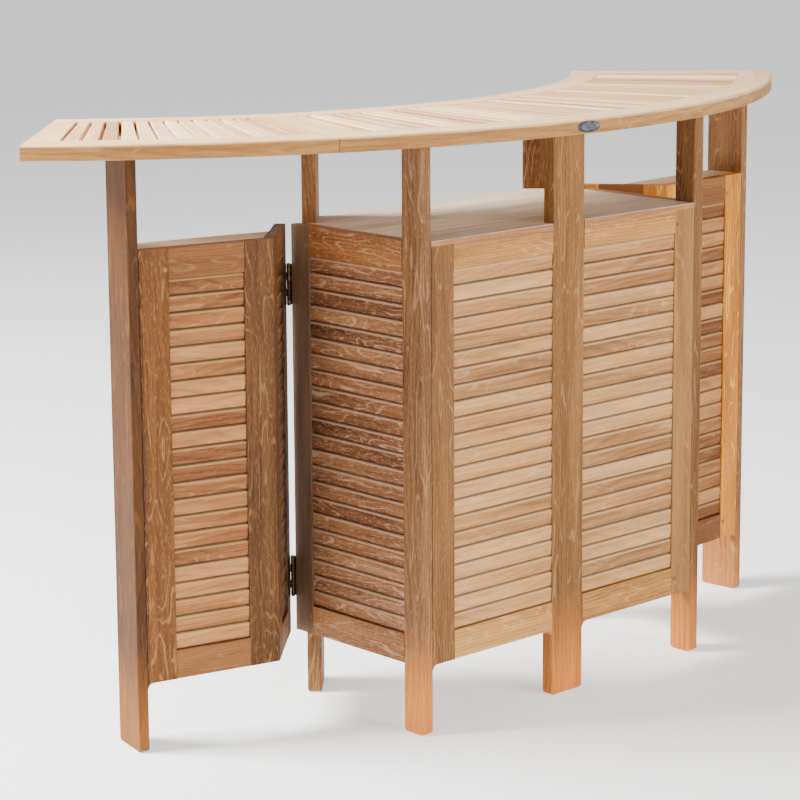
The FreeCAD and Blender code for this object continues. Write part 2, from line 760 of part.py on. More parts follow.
# Wings: a narrow panel on the hinge and a wide panel turned back from it, mitred at the kink.
narrow_panel = Panel(
    "wing_bottom",
    "wing_bottom + wing_bottom_rail_height",
    "wing_top - wing_top_rail_height",
    "wing_top",
    "wing_thickness",
    "louvre_thickness",
    "pin_standoff",
)
wide_panel = Panel(
    narrow_panel.bottom,
    narrow_panel.low,
    narrow_panel.high,
    narrow_panel.top,
    "wing_thickness",
    "louvre_thickness",
    "0",
)
for side, word in side_names.items():
    angle = "%s_wing_angle" % word
    pin_x, pin_y = pin_spots[side]
    narrow_spot = (pin_x, pin_y, "0", signed(-side, angle))
    kink_x = "pin_out + wing_kink_distance * cos(%s) + pin_standoff * sin(%s)" % (angle, angle)
    kink_y = "%s - wing_kink_distance * sin(%s) + pin_standoff * cos(%s)" % (pin_y, angle, angle)
    wide_spot = (signed(side, kink_x), kink_y, "0", signed(side, "wing_kink_angle - %s" % angle))

    hinge_end = "leaf_back + wing_hinge_stile_width"
    kink_start = "wing_kink_distance - wing_kink_stile_width"
    kink_end = "wing_kink_stile_width + wing_kink_mitre"
    outer_start = "wing_width - wing_stile_width"

    body = make_upright(
        "%s_wing_hinge_stile" % word,
        narrow_spot,
        rectangle(signed(side, "leaf_back"), signed(side, hinge_end), "pin_standoff", "wing_back"),
        "wing_bottom",
        "wing_top",
        "frame_arris",
        along("z"),
    )
    cut_sockets(body, narrow_panel, side, hinge_end, 1)
    centres = [("screw_setback", height) for height in screw_heights]
    holes(body, centres, "screw_radius", "YZ_Plane", signed(side, "leaf_back"),
          "screw_length - leaf_thickness", side > 0)

    outline = [
        (signed(side, kink_start), "pin_standoff"),
        (signed(side, "wing_kink_distance"), "pin_standoff"),
        (signed(side, "wing_kink_distance - wing_kink_mitre"), "wing_back"),
        (signed(side, kink_start), "wing_back"),
    ]
    body = make_upright("%s_wing_narrow_kink_stile" % word, narrow_spot, outline,
                        "wing_bottom", "wing_top", "frame_arris", along("z"))
    narrow_stile = body
    cut_sockets(body, narrow_panel, side, kink_start, -1)

    outline = [
        ("0", "0"),
        (signed(side, kink_end), "0"),
        (signed(side, kink_end), "wing_thickness"),
        (signed(side, "wing_kink_mitre"), "wing_thickness"),
    ]
    body = make_upright("%s_wing_wide_kink_stile" % word, wide_spot, outline,
                        "wing_bottom", "wing_top", "frame_arris", along("z"))
    group("%s_wing_kink_stiles" % word, [narrow_stile, body])
    cut_sockets(body, wide_panel, side, kink_end, 1)

    body = make_upright(
        "%s_wing_outer_stile" % word,
        wide_spot,
        rectangle(signed(side, outer_start), signed(side, "wing_width"), "0", "wing_thickness"),
        "wing_bottom",
        "wing_top",
        "frame_arris",
        along("z"),
    )
    add_shoulder(body, side, "wing_width", "wing_bottom", -1, "wing_thickness")
    cut_sockets(body, wide_panel, side, outer_start, -1)
    wing_plugs = [(signed(side, outer_start + " + plug_inset"), height) for height in plug_heights]
    holes(body, wing_plugs, "plug_radius", "XZ_Plane", "0", "plug_depth")
    body = new_part("%s_wing_plugs" % word, wide_spot)
    pegs(body, wing_plugs, "plug_radius", "XZ_Plane", "0", "plug_depth", True)

    narrow_rails = make_rails("%s_wing_narrow_rails" % word, narrow_spot, narrow_panel, (side,),
                              hinge_end, kink_start)
    make_louvres("%s_wing_narrow_louvres" % word, narrow_spot, narrow_panel, side, hinge_end, kink_start)
    wide_rails = make_rails("%s_wing_wide_rails" % word, wide_spot, wide_panel, (side,),
                            kink_end, outer_start)
    group("%s_wing_rails" % word, [narrow_rails, wide_rails])
    make_louvres("%s_wing_wide_louvres" % word, wide_spot, wide_panel, side, kink_end, outer_start)

    make_leg(
        "%s_wing_leg" % word,
        wide_spot,
        rectangle(
            signed(side, "wing_width"),
            signed(side, "wing_width + wing_leg_thickness"),
            "0",
            "wing_leg_width",
        ),
        "wing_leg_top",
        "x",
    )

    # Ledge behind the wide panel, its inner end cut along the back of the narrow panel.
    slope = "(ledge_depth - wing_thickness) / tan(wing_kink_angle)"
    outline = [
        (signed(side, "wing_kink_mitre"), "wing_thickness"),
        (signed(side, "wing_width"), "wing_thickness"),
        (signed(side, "wing_width"), "ledge_depth"),
        (signed(side, "wing_kink_mitre - %s" % slope), "ledge_depth"),
    ]
    body = new_part("%s_wing_ledge" % word, wide_spot)
    block(body, outline, "wing_top - ledge_thickness", "ledge_thickness")

    turn_text = "90 - %s" % angle if side > 0 else "90 + %s" % angle
    leaf_spot = (pin_x, pin_y, "0", turn_text)
    body = new_part("%s_wing_hinge_leaves" % word, leaf_spot)
    make_leaf(body, -side, 1)
    body = new_part("%s_wing_hinge_screws" % word, leaf_spot)
    make_screws(body, -side)

# Top: three arc sections of rails, end boards and slats.
sections = {
    "left": ("-top_half_angle", "-section_joint_angle", side_slat_count),
    "centre": ("-section_joint_angle", "section_joint_angle", centre_slat_count),
    "right": ("section_joint_angle", "top_half_angle", side_slat_count),
}


def turned(x, y, angle):
    across = "(%s) * cos(%s) - (%s) * sin(%s)" % (x, angle, y, angle)
    along_arc = "(%s) * sin(%s) + (%s) * cos(%s)" % (x, angle, y, angle)
    return (across, along_arc)


# A rail bent to the arc: its section is turned about the centre of the arc.
def make_arc_rail(name, spot, start, end, grooved_end, span):
    body = new_part(name, spot)
    deep = "tongue_length + joint_clearance"
    low = "groove_foot - joint_clearance"
    high = "groove_foot + tongue_thickness + joint_clearance"
    if grooved_end:
        groove = [(end, low), ("%s - (%s)" % (end, deep), low), ("%s - (%s)" % (end, deep), high), (end, high)]
        outline = [(start, "0"), (end, "0")] + groove + [(end, "top_thickness"), (start, "top_thickness")]
    else:
        groove = [(start, high), ("%s + %s" % (start, deep), high), ("%s + %s" % (start, deep), low), (start, low)]
        outline = [(start, "0"), (end, "0"), (end, "top_thickness"), (start, "top_thickness")] + groove
    sketch = new_sketch(body, "XZ_Plane", "0")
    draw_outline(sketch, outline)
    feature = body.newObject("PartDesign::Revolution", name + "_revolution")
    feature.Profile = sketch
    feature.ReferenceAxis = (sketch, ["V_Axis"])
    feature.Midplane = True
    feature.setExpression("Angle", linked("(%s) - section_gap_angle" % span))
    sketch.Visibility = False
    body.Tip = feature
    document.recompute()
    rim = value(start if grooved_end else end)

    def on_rim(edge):
        return edge.Curve.TypeId == "Part::GeomCircle" and abs(edge.Curve.Radius - rim) < match_tolerance

    ease(body, "top_arris", on_rim)
    return body


# Long upper edges of the boards between the arc rails.
top_level = value("top_thickness")
shortest = value("slat_end - slat_start") / 2


def long_top_edge(edge):
    return edge.BoundBox.ZMin > top_level - match_tolerance and edge.Length > shortest


dowel_holes = {
    "outer": [("arc_to_front - front_leg_depth / 2", signed(side, "cabinet_half_width - plank_thickness / 2"))
              for side in side_names],
    "inner": [("arc_to_front - (%s)" % back, across)
              for across, back in dowel_points[1::2]],
}
pin_stations = ["cleat_start + cleat_pin_inset", "cleat_start + cleat_length - cleat_pin_inset"]

for word, (start, end, count) in sections.items():
    span = "((%s) - (%s))" % (end, start)
    middle = "(%s + %s) / 2" % (start, end)
    spot = ("0", "arc_centre", "underside", "%s - 90" % middle)
    outer_rail = make_arc_rail(word + "_top_outer_rail", spot, "slat_end", "top_outer_radius", False, span)
    inner_rail = make_arc_rail(word + "_top_inner_rail", spot, "top_inner_radius", "slat_start", True, span)
    if word == "centre":
        for body, key in ((outer_rail, "outer"), (inner_rail, "inner")):
            holes(body, dowel_holes[key], "dowel_radius + moving_clearance", "XY_Plane", "0",
                  "dowel_rise + moving_clearance", True)

    # Boards at both ends of the section.
    body = new_part(word + "_top_end_boards", spot)
    edge_out = "%s / 2 - section_gap_angle / 2" % span
    edge_in = "%s / 2 - end_board_angle" % span
    for side in side_names:
        for near, far, foot, thick in (
            ("slat_start", "slat_end", "0", "top_thickness"),
            ("slat_start - tongue_length", "slat_end + tongue_length", "groove_foot", "tongue_thickness"),
        ):
            inner = "(%s) / cos(end_board_angle / 2)" % near
            half_gap = signed(side, "slat_gap / 2")
            outline = [
                turned(inner, half_gap, signed(side, edge_in)),
                turned("(%s) - joint_clearance / 2" % far, half_gap, signed(side, edge_in)),
                turned(far, "0", signed(side, edge_out)),
                turned(inner, "0", signed(side, edge_out)),
            ]
            block(body, outline, foot, thick)
    ease(body, "slat_arris", long_top_edge)
    if word != "centre":
        inward = 1 if word == "left" else -1
        centres = [
            turned(station, signed(-inward, "cleat_pin_offset"), signed(inward, "%s / 2" % span))
            for station in pin_stations
        ]
        holes(body, centres, "cleat_pin_radius + moving_clearance", "XY_Plane", "0",
              "dowel_rise + moving_clearance", True)

    # Slats, tapered so that the gap between them stays the same.
    pitch = "((%s - 2 * end_board_angle) / %d)" % (span, count)
    spot = ("0", "arc_centre", "underside", "%s - 90 - %s * %d / 2" % (middle, pitch, count - 1))
    body = new_part(word + "_top_slats", spot)
    for near, far, foot, thick in (
        ("slat_start", "slat_end * cos(%s / 2)" % pitch, "0", "top_thickness"),
        ("slat_start - tongue_length", "(slat_end + tongue_length) * cos(%s / 2)" % pitch,
         "groove_foot", "tongue_thickness"),
    ):
        narrow = "(%s) * tan(%s / 2) - slat_gap / 2" % (near, pitch)
        broad = "(%s) * tan(%s / 2) - slat_gap / 2" % (far, pitch)
        outline = [(near, signed(-1, narrow)), (far, signed(-1, broad)), (far, broad), (near, narrow)]
        block(body, outline, foot, thick)
    pads = [item for item in body.Group if item.TypeId == "PartDesign::Pad"]
    pattern = body.newObject("PartDesign::PolarPattern", body.Label + "_pattern")
    pattern.Originals = pads
    axis = next(item for item in body.Origin.OriginFeatures if item.Role == "Z_Axis")
    pattern.Axis = (axis, [""])
    pattern.setExpression("Angle", linked("%s * %d" % (pitch, count - 1)))
    pattern.Occurrences = count
    body.Tip = pattern
    document.recompute()
    ease(body, "slat_arris", long_top_edge)

# Cleats under the two section joints, fixed to the centre section, with upright pins.
cleat_spot = ("0", "arc_centre", "underside - cleat_thickness", "-90")
body = new_part("section_cleats", cleat_spot)
pin_body = new_part("cleat_pins", cleat_spot)
cleat_end = "cleat_start + cleat_length"
for side in side_names:
    angle = signed(side, "section_joint_angle")
    outline = [
        turned("cleat_start", "-cleat_half_width", angle),
        turned(cleat_end, "-cleat_half_width", angle),
        turned(cleat_end, "cleat_half_width", angle),
        turned("cleat_start", "cleat_half_width", angle),
    ]
    block(body, outline, "0", "cleat_thickness")
    centres = [turned(station, signed(side, "cleat_pin_offset"), angle) for station in pin_stations]
    holes(body, centres, "cleat_pin_radius", "XY_Plane", "0", "cleat_thickness", True)
    pegs(pin_body, centres, "cleat_pin_radius", "XY_Plane", "0", "cleat_thickness + dowel_rise")

# Blank oval plate on the rim, bent to the rim's curve.
oval = document.addObject("Part::Ellipse", "badge_oval")
oval.setExpression("MajorRadius", linked("badge_length / 2"))
oval.setExpression("MinorRadius", linked("badge_height / 2"))
oval.Placement.Rotation = FreeCAD.Rotation(FreeCAD.Vector(1, 0, 0), 90)
oval.setExpression("Placement.Base.z", linked("top_thickness / 2"))
prism = document.addObject("Part::Extrusion", "badge_prism")
prism.Base = oval
prism.DirMode = "Custom"
prism.Dir = FreeCAD.Vector(0, -1, 0)
prism.Solid = True
prism.setExpression("LengthFwd", linked("top_outer_radius * 2"))
plate = document.addObject("Part::Cylinder", "badge_outside")
plate.setExpression("Radius", linked("top_outer_radius + badge_thickness"))
plate.setExpression("Height", linked("top_thickness"))
bore = document.addObject("Part::Cylinder", "badge_inside")
bore.setExpression("Radius", linked("top_outer_radius"))
bore.setExpression("Height", linked("top_thickness"))
ring = document.addObject("Part::Cut", "badge_ring")
ring.Base = plate
ring.Tool = bore
badge = document.addObject("Part::Common", "badge_plate")
badge.Base = ring
badge.Tool = prism
badge.Label = "badge_plate"
place(badge, ("0", "arc_centre", "underside", "-badge_angle"))
document.recompute()

for item in document.Objects:
    if "Invalid" in item.State or "Error" in item.State:
        raise RuntimeError("%s is not valid: %s" % (item.Label, item.State))

grouped = [member for node in groups for member in node.Links]
bodies = [item for item in document.Objects if item.TypeId == "PartDesign::Body"]
nodes = [body for body in bodies if body not in grouped] + groups + [badge]
os.makedirs("parts", exist_ok=True)
for node in nodes:
    if node.Shape.isNull() or not node.Shape.isValid():
        raise RuntimeError("%s has no valid shape" % node.Label)
    node.Shape.exportStep("parts/%s.step" % node.Label)
    box = node.Shape.BoundBox
    print(node.Label, len(node.Shape.Solids), "solids", round(node.Shape.Volume),
          [round(edge, 1) for edge in (box.XMin, box.XMax, box.YMin, box.YMax, box.ZMin, box.ZMax)])
print(len(nodes), "sub-parts")
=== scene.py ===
import bpy
import bmesh
import math
from mathutils import Matrix, Vector


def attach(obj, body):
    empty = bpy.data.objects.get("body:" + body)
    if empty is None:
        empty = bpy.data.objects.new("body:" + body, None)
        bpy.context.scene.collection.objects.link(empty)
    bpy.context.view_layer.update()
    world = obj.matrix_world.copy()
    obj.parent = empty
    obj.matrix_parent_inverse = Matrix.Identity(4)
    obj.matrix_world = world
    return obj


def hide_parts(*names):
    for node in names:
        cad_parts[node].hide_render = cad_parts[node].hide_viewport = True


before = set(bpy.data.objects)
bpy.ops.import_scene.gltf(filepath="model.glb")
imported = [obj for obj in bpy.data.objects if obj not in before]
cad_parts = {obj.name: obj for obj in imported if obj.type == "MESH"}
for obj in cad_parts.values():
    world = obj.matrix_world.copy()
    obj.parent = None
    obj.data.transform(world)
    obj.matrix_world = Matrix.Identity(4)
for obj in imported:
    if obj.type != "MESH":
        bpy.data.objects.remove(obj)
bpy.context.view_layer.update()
print("frame loaded with", len(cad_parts), "nodes")

# Places that several pieces share, in metres and degrees
arcMiddle = (0.0, 1.060585)
frontPlane = -0.287415
sideLine = 0.379
pinPlace = (0.3835, 0.062585)
kinkPlace = {"run": 0.1907, "off": 0.0045, "turn": 56.0}
wingTurn = {"left": 42.8, "right": 51.0}
sideSign = {"left": -1, "right": 1}


# Where a wing's two panels meet, and the turns of the narrow and the wide one
def kinkPoint(side):
    sign, turn = sideSign[side], math.radians(wingTurn[side])
    run, off = kinkPlace["run"], kinkPlace["off"]
    x = pinPlace[0] + run * math.cos(turn) + off * math.sin(turn)
    y = pinPlace[1] - run * math.sin(turn) + off * math.cos(turn)
    return sign * x, y


def panelTurns(side):
    narrow = math.radians(-sideSign[side] * wingTurn[side])
    return narrow, narrow + math.radians(sideSign[side] * kinkPlace["turn"])


# Camera and light
cameraLook = {
    "eye": (-3.5835, -3.6520, 1.6093),
    "right": (0.72882, -0.684675, -0.006452),
    "up": (0.126621, 0.125513, 0.983979),
    "lens": 120.67,
    "sensor": 36,
    "shiftY": -0.1,
    "reach": 80,
}
lightLook = {
    "overhead": {"place": (-2.8, 1.9, 3.6), "aim": (-0.5, 0.2, 1.0), "size": 1.8, "power": 880,
                 "colour": (1.0, 0.95, 0.88)},
    "leftFill": {"place": (-3.4, -1.0, 3.0), "aim": (-0.4, 0, 0.5), "size": 2.0, "power": 38,
                 "colour": (1.0, 0.92, 0.82)},
    "frontKey": {"place": (1.2, -5.2, 1.6), "aim": (0, 0, 0.6), "size": 2.2, "power": 290,
                 "colour": (1.0, 0.91, 0.80)},
    "backFill": {"place": (0.4, 4.6, 2.6), "aim": (0, 0, 0.8), "size": 3.0, "power": 45,
                 "colour": (1.0, 0.95, 0.88)},
}
skyLook = {"colour": (1, 0.96, 0.91, 1), "strength": 0.22}


def setCamera(look):
    data = bpy.data.cameras.new("photoCamera")
    data.lens = look["lens"]
    data.sensor_width = look["sensor"]
    data.shift_y = look["shiftY"]
    data.clip_end = look["reach"]
    camera = bpy.data.objects.new("photoCamera", data)
    bpy.context.scene.collection.objects.link(camera)
    right = Vector(look["right"]).normalized()
    up = Vector(look["up"]).normalized()
    turn = Matrix((right, up, right.cross(up))).transposed().to_4x4()
    camera.matrix_world = Matrix.Translation(look["eye"]) @ turn
    bpy.context.scene.camera = camera


def setLight(name, look):
    data = bpy.data.lights.new(name, "AREA")
    data.size = look["size"]
    data.energy = look["power"]
    data.color = look["colour"]
    lamp = bpy.data.objects.new(name, data)
    bpy.context.scene.collection.objects.link(lamp)
    lamp.location = look["place"]
    away = Vector(look["aim"]) - Vector(look["place"])
    lamp.rotation_euler = away.to_track_quat("-Z", "Y").to_euler()


def setSky(look):
    world = bpy.data.worlds.new("studioSky")
    world.use_nodes = True
    sky = world.node_tree.nodes["Background"]
    sky.inputs["Color"].default_value = look["colour"]
    sky.inputs["Strength"].default_value = look["strength"]
    bpy.context.scene.world = world


setCamera(cameraLook)
for name, look in lightLook.items():
    setLight(name, look)
setSky(skyLook)
print("camera and lights set")


# Shader maths on sockets
class Wire:
    def __init__(self, graph, socket):
        self.graph = graph
        self.socket = socket

    def blend(self, operation, first, second):
        return self.graph.maths(operation, first, second)

    def __add__(self, other):
        return self.blend("ADD", self, other)

    def __radd__(self, other):
        return self.blend("ADD", other, self)

    def __sub__(self, other):
        return self.blend("SUBTRACT", self, other)

    def __rsub__(self, other):
        return self.blend("SUBTRACT", other, self)

    def __mul__(self, other):
        return self.blend("MULTIPLY", self, other)

    def __truediv__(self, other):
        return self.blend("DIVIDE", self, other)


rampPlaces = {"dark": 0.05, "mid": 0.47, "light": 0.92}


class Graph:
    def __init__(self, name):
        self.material = bpy.data.materials.new(name)
        self.material.use_nodes = True
        self.tree = self.material.node_tree
        self.shader = self.tree.nodes["Principled BSDF"]

    def node(self, kind, settings=None, sockets=None, output=0):
        made = self.tree.nodes.new(kind)
        for key, setting in (settings or {}).items():
            if key == "stops":
                ramp = made.color_ramp
                while len(ramp.elements) < len(setting):
                    ramp.elements.new(0.5)
                for stop, (place, colour) in zip(ramp.elements, setting):
                    stop.position = place
                    stop.color = colour
            else:
                setattr(made, key, setting)
        for key, feed in (sockets or {}).items():
            if isinstance(feed, Wire):
                self.tree.links.new(feed.socket, made.inputs[key])
            else:
                made.inputs[key].default_value = feed
        return Wire(self, made.outputs[output])

    def feed(self, key, wire):
        self.tree.links.new(wire.socket, self.shader.inputs[key])

    def fix(self, key, value):
        self.shader.inputs[key].default_value = value

    def objectPlace(self):
        return self.node("ShaderNodeTexCoord", None, None, 3)

    def height(self):
        return self.split(self.objectPlace())[2]

    def join(self, x, y, z):
        return self.node("ShaderNodeCombineXYZ", None, {0: x, 1: y, 2: z})

    def split(self, wire):
        return [self.node("ShaderNodeSeparateXYZ", None, {0: wire}, part) for part in range(3)]

    def noise(self, place, scale, detail=2.0, rough=0.5):
        return self.node("ShaderNodeTexNoise", {"noise_dimensions": "3D"},
                         {"Vector": place, "Scale": scale, "Detail": detail, "Roughness": rough})

    def smooth(self, wire, low, high, start=0.0, end=1.0):
        return self.node("ShaderNodeMapRange", {"interpolation_type": "SMOOTHSTEP"},
                         {0: wire, 1: low, 2: high, 3: start, 4: end})

    def tint(self, factor, first, second, way="MIX"):
        return self.node("ShaderNodeMix", {"data_type": "RGBA", "blend_type": way},
                         {0: factor, 6: first, 7: second}, 2)

    def maths(self, operation, first, second=0.0):
        return self.node("ShaderNodeMath", {"operation": operation}, {0: first, 1: second})

    def ramp(self, level, look):
        stops = [(place, rgba(look[tone])) for tone, place in rampPlaces.items()]
        return self.node("ShaderNodeValToRGB", {"stops": stops}, {0: level})

    def bump(self, relief, strength, distance):
        made = self.node("ShaderNodeBump", None,
                         {"Strength": strength, "Distance": distance, "Height": relief})
        self.feed("Normal", made)


def rgba(colour):
    return (*colour, 1.0)


# Teak finishes, linear colours. The last three are only blended over another finish.
# Many finishes are lighter and darker copies of one teak, given to parts by how light falls on
# them: partly the boards' own tone, partly painted light and shade. The pale top, shelf and
# ledgeTop finishes are partly painted light on faces that look up.
teakLooks = {
    "post": {
        "dark": (0.096, 0.035, 0.0085), "mid": (0.201, 0.088, 0.024),
        "light": (0.352, 0.174, 0.054), "fleck": (0.52, 0.309, 0.118),
        "flecks": 0.3, "limed": 0.32, "figure": 0.16, "spread": 0.25,
    },
    "amber": {
        "dark": (0.224, 0.068, 0.0065), "mid": (0.476, 0.17, 0.018),
        "light": (0.826, 0.338, 0.041), "fleck": (0.931, 0.607, 0.104),
        "flecks": 0.3, "limed": 0.45, "figure": 0.16, "spread": 0.25,
    },
    "stile": {
        "dark": (0.087, 0.035, 0.0091), "mid": (0.187, 0.087, 0.026),
        "light": (0.323, 0.17, 0.058), "fleck": (0.465, 0.26, 0.111),
        "flecks": 0.3, "limed": 0.32, "figure": 0.16, "spread": 0.6,
    },
    "rail": {
        "dark": (0.186, 0.071, 0.018), "mid": (0.398, 0.193, 0.052),
        "light": (0.643, 0.352, 0.104), "fleck": (0.857, 0.581, 0.23),
        "flecks": 0.2, "limed": 0.24, "figure": 0.18, "spread": 0.3,
    },
    "wingRail": {
        "dark": (0.071, 0.019, 0.0054), "mid": (0.152, 0.058, 0.016),
        "light": (0.249, 0.104, 0.032), "fleck": (0.341, 0.177, 0.069),
        "flecks": 0.2, "limed": 0.3, "figure": 0.18, "spread": 0.3,
    },
    "louvre": {
        "dark": (0.19, 0.083, 0.027), "mid": (0.389, 0.199, 0.071),
        "light": (0.562, 0.333, 0.141), "fleck": (0.716, 0.486, 0.274),
        "flecks": 0.1, "limed": 0.2, "figure": 0.14, "spread": 0.6,
    },
    "frame": {
        "dark": (0.046, 0.012, 0.0027), "mid": (0.095, 0.031, 0.0057),
        "light": (0.178, 0.064, 0.013), "fleck": (0.363, 0.193, 0.061),
        "flecks": 0.5, "limed": 0.5, "figure": 0.16, "spread": 0.3,
    },
    "kink": {
        "dark": (0.03, 0.0096, 0.0023), "mid": (0.064, 0.021, 0.0046),
        "light": (0.12, 0.048, 0.011), "fleck": (0.256, 0.153, 0.054),
        "flecks": 0.5, "limed": 0.5, "figure": 0.16, "spread": 0.3,
    },
    "side": {
        "dark": (0.066, 0.02, 0.0069), "mid": (0.18, 0.071, 0.028),
        "light": (0.316, 0.145, 0.061), "fleck": (0.75, 0.491, 0.302),
        "flecks": 0.45, "limed": 0.35, "figure": 0.16, "spread": 0.5,
    },
    "sideRail": {
        "dark": (0.079, 0.025, 0.0065), "mid": (0.219, 0.084, 0.025),
        "light": (0.387, 0.17, 0.057), "fleck": (0.703, 0.458, 0.262),
        "flecks": 0.45, "limed": 0.35, "figure": 0.16, "spread": 0.2,
    },
    "shade": {
        "dark": (0.057, 0.025, 0.012), "mid": (0.123, 0.063, 0.034),
        "light": (0.228, 0.13, 0.072), "fleck": (0.38, 0.252, 0.144),
        "flecks": 0.1, "limed": 0.1, "figure": 0.16, "spread": 0.2,
    },
    "wingLouvre": {
        "dark": (0.114, 0.036, 0.0089), "mid": (0.267, 0.109, 0.033),
        "light": (0.438, 0.223, 0.081), "fleck": (0.583, 0.362, 0.156),
        "flecks": 0.15, "limed": 0.2, "figure": 0.14, "spread": 0.7,
    },
    "top": {
        "dark": (0.463, 0.274, 0.138), "mid": (0.73, 0.501, 0.295),
        "light": (0.95, 0.735, 0.483), "fleck": (0.95, 0.784, 0.533),
        "flecks": 0.1, "limed": 0.0, "figure": 0.16, "spread": 0.9,
    },
    "rim": {
        "dark": (0.157, 0.061, 0.016), "mid": (0.285, 0.133, 0.038),
        "light": (0.441, 0.236, 0.078), "fleck": (0.633, 0.408, 0.195),
        "flecks": 0.15, "limed": 0.2, "figure": 0.16, "spread": 0.3,
        "above": "top", "level": 1.0945, "blend": 0.0045,
    },
    "plug": {
        "dark": (0.095, 0.038, 0.014), "mid": (0.228, 0.097, 0.034),
        "light": (0.304, 0.138, 0.051), "fleck": (0.228, 0.097, 0.034),
        "flecks": 0.1, "limed": 0.0, "figure": 0.2, "spread": 0.5,
    },
    "leg": {
        "dark": (0.054, 0.019, 0.0065), "mid": (0.15, 0.063, 0.023),
        "light": (0.298, 0.152, 0.055), "fleck": (0.51, 0.309, 0.148),
        "flecks": 0.35, "limed": 0.35, "figure": 0.18, "spread": 0.3,
    },
    "wingLeg": {
        "dark": (0.017, 0.0043, 0.00037), "mid": (0.047, 0.015, 0.0013),
        "light": (0.093, 0.031, 0.0033), "fleck": (0.178, 0.077, 0.012),
        "flecks": 0.35, "limed": 0.35, "figure": 0.18, "spread": 0.3,
    },
    "shelfBoard": {
        "dark": (0.158, 0.059, 0.019), "mid": (0.334, 0.155, 0.058),
        "light": (0.513, 0.271, 0.113), "fleck": (0.655, 0.401, 0.202),
        "flecks": 0.2, "limed": 0.2, "figure": 0.18, "spread": 0.5,
        "above": "shelf", "level": 0.9026, "blend": 0.001,
    },
    "ledge": {
        "dark": (0.158, 0.059, 0.019), "mid": (0.334, 0.155, 0.058),
        "light": (0.513, 0.271, 0.113), "fleck": (0.655, 0.401, 0.202),
        "flecks": 0.2, "limed": 0.2, "figure": 0.18, "spread": 0.5,
        "above": "ledgeTop", "level": 0.9026, "blend": 0.001,
    },
    "shelf": {
        "dark": (0.317, 0.269, 0.23), "mid": (0.527, 0.49, 0.433),
        "light": (0.739, 0.734, 0.703),
    },
    "ledgeTop": {
        "dark": (0.283, 0.212, 0.152), "mid": (0.473, 0.386, 0.289),
        "light": (0.661, 0.58, 0.467),
    },
    # Painted light: the warm orange of light bounced up from the floor, blended onto the legs near
    # it
    "foot": {
        "dark": (0.36, 0.115, 0.018), "mid": (0.74, 0.245, 0.036),
        "light": (0.84, 0.34, 0.065),
    },
}
# Noises: how often they change along and across the grain, their detail and roughness.
# Masks and bands: where they start and end.
grainLook = {
    "wander": (1.7, 6.0, 1.0, 0.5),
    "curl": (9.0, 30.0, 2.0, 0.5),
    "fibre": (8.0, 420.0, 3.0, 0.65),
    "cloud": (2.6, 26.0, 3.0, 0.55),
    "smear": (5.0, 80.0, 2.0, 0.5),
    "pores": (26.0, 900.0, 1.0, 0.5),
    "flecks": (80.0, 860.0, 2.0, 0.5),
    "limed": (3.0, 15.0, 2.0, 0.5),
    "patches": (7.0, 60.0, 2.0, 0.5),
    "boardShift": (37.0, 11.0),  # moves the noises from board to board
    "ringWidth": 0.0062,  # width of one growth ring across a board
    "wanderReach": 0.075,
    "curlReach": 0.007,
    "turn": 6.283,
    "lineMean": 0.3,
    "weights": {"fibre": 0.42, "cloud": 0.85, "smear": 0.42},
    "warmth": 0.4,
    "warmTint": (1.0, 0.80, 0.60, 1),
    "hueSpread": 91.0,
    "poreMask": (0.63, 0.73),
    "poreShare": 0.5,
    "poreTint": (0.40, 0.27, 0.19, 1),
    "fleckMask": (0.56, 0.70),
    "limedDensity": 14.0,
    "limedSmear": 0.05,
    "limedMask": (0.72, 1.0),
    "patchMask": (0.42, 0.62),
    "noseHighlightBlend": 0.002,  # painted highlight: pale band on a louvre's rounded top edge, where light from above catches it
    "noseHighlightShare": 0.6,
    "gapShadeBand": (-0.0108, -0.0132),  # painted shade along its lower edge, where the gap under the louvre above falls dark
    "gapShadeShare": 0.9,
    "gapShadeTint": (0.16, 0.09, 0.05, 1),
    "footBand": (0.02, 0.22),  # heights between which the painted light bounced up from the floor fades on a leg
    "roughness": (-0.2, 0.25, 0.65, 0.51),
    "relief": {"fibre": 0.5, "lines": 0.25, "pores": 0.6},
    "bump": (0.5, 0.0005),
    "specular": 0.18,
}
layLook = {
    "meanRadius": 1.2,  # turns an angle round the top into a length
    "arcCells": 2.587,  # boards for each radian round the top
    "heightCells": 2,  # boards for each metre of height
    "slant": 0.6,  # how the figure of a rail slants through its depth
}


